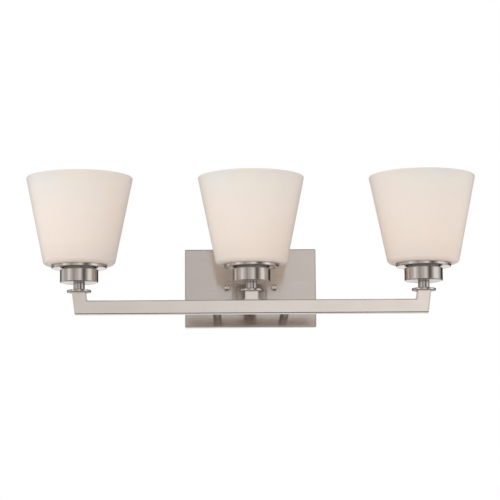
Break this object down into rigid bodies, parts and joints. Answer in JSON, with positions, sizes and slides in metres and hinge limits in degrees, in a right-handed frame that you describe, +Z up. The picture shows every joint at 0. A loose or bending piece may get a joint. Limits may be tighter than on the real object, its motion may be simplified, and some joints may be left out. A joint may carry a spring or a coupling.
{
  "type": "vanity light bar",
  "caption": "Wall-mounted vanity light: a square bar on two posts carries upright tapered opal glass shades over a rectangular backplate.",
  "frame": {"origin": "centre of the crossbar's two slots, on the wall plane, which is also the centre of the backplate", "axes": "+X along the bar to the right, +Y into the wall, +Z up; the light stands out towards -Y"},
  "size_m": [0.6352, 0.2231, 0.2002],
  "materials": {
    "brushed_nickel": "fine brushed nickel",
    "satin_nickel": "turned and polished nickel",
    "zinc_steel": "zinc-plated steel",
    "brass": "plain brass",
    "nickel_shell": "bright aluminium screw shell",
    "opal_glass": "satin white opal glass",
    "socket_phenolic": "white phenolic",
    "ring_phenolic": "white phenolic",
    "silicone": "translucent silicone washer",
    "lead_black": "lead insulation",
    "lead_white": "lead insulation",
    "splice_nylon": "natural nylon",
    "green_steel": "green-passivated steel",
    "bare_copper": "bare tinned copper"
  },
  "bodies": {
    "fixture": {"backplate": "brushed_nickel", "crossbar": "zinc_steel", "mounting_studs": "zinc_steel", "stud_lock_nuts": "zinc_steel", "ground_screw": "green_steel", "ground_wire": "bare_copper", "bar_tube": "brushed_nickel", "post_left": "satin_nickel", "post_right": "satin_nickel", "post_lock_washers": "zinc_steel", "post_nuts": "zinc_steel", "leads_black": "lead_black", "leads_white": "lead_white", "splice_caps": "splice_nylon", "stub_left": "brushed_nickel", "stub_plug_left": "zinc_steel", "nipple_left": "zinc_steel", "check_washer_left": "satin_nickel", "neck_left": "satin_nickel", "socket_cup_left": "satin_nickel", "lamp_lock_nut_left": "zinc_steel", "shade_holder_left": "satin_nickel", "gasket_left": "silicone", "socket_body_left": "socket_phenolic", "screw_shell_left": "nickel_shell", "centre_contact_left": "brass", "glass_shade_left": "opal_glass", "stub_middle": "brushed_nickel", "stub_plug_middle": "zinc_steel", "nipple_middle": "zinc_steel", "check_washer_middle": "satin_nickel", "neck_middle": "satin_nickel", "socket_cup_middle": "satin_nickel", "lamp_lock_nut_middle": "zinc_steel", "shade_holder_middle": "satin_nickel", "gasket_middle": "silicone", "socket_body_middle": "socket_phenolic", "screw_shell_middle": "nickel_shell", "centre_contact_middle": "brass", "glass_shade_middle": "opal_glass", "stub_right": "brushed_nickel", "stub_plug_right": "zinc_steel", "nipple_right": "zinc_steel", "check_washer_right": "satin_nickel", "neck_right": "satin_nickel", "socket_cup_right": "satin_nickel", "lamp_lock_nut_right": "zinc_steel", "shade_holder_right": "satin_nickel", "gasket_right": "silicone", "socket_body_right": "socket_phenolic", "screw_shell_right": "nickel_shell", "centre_contact_right": "brass", "glass_shade_right": "opal_glass"},
    "ring_left": {"retaining_ring_left": "ring_phenolic"},
    "ring_middle": {"retaining_ring_middle": "ring_phenolic"},
    "ring_right": {"retaining_ring_right": "ring_phenolic"},
    "nut_left": {"cap_nut_left": "satin_nickel"},
    "nut_right": {"cap_nut_right": "satin_nickel"}
  },
  "joints": [
    {"name": "ring_left_turn", "type": "hinge", "parent": "fixture", "child": "ring_left", "pos_m": [-0.2425, -0.147, 0.0247], "axis": [0, 0, 1], "continuous": true},
    {"name": "ring_middle_turn", "type": "hinge", "parent": "fixture", "child": "ring_middle", "pos_m": [0, -0.147, 0.0247], "axis": [0, 0, 1], "continuous": true},
    {"name": "ring_right_turn", "type": "hinge", "parent": "fixture", "child": "ring_right", "pos_m": [0.2425, -0.147, 0.0247], "axis": [0, 0, 1], "continuous": true},
    {"name": "cap_nut_left_turn", "type": "hinge", "parent": "fixture", "child": "nut_left", "pos_m": [-0.03492, -0.021, 0], "axis": [0, -1, 0], "continuous": true},
    {"name": "cap_nut_right_turn", "type": "hinge", "parent": "fixture", "child": "nut_right", "pos_m": [0.03492, -0.021, 0], "axis": [0, -1, 0], "continuous": true}
  ]
}
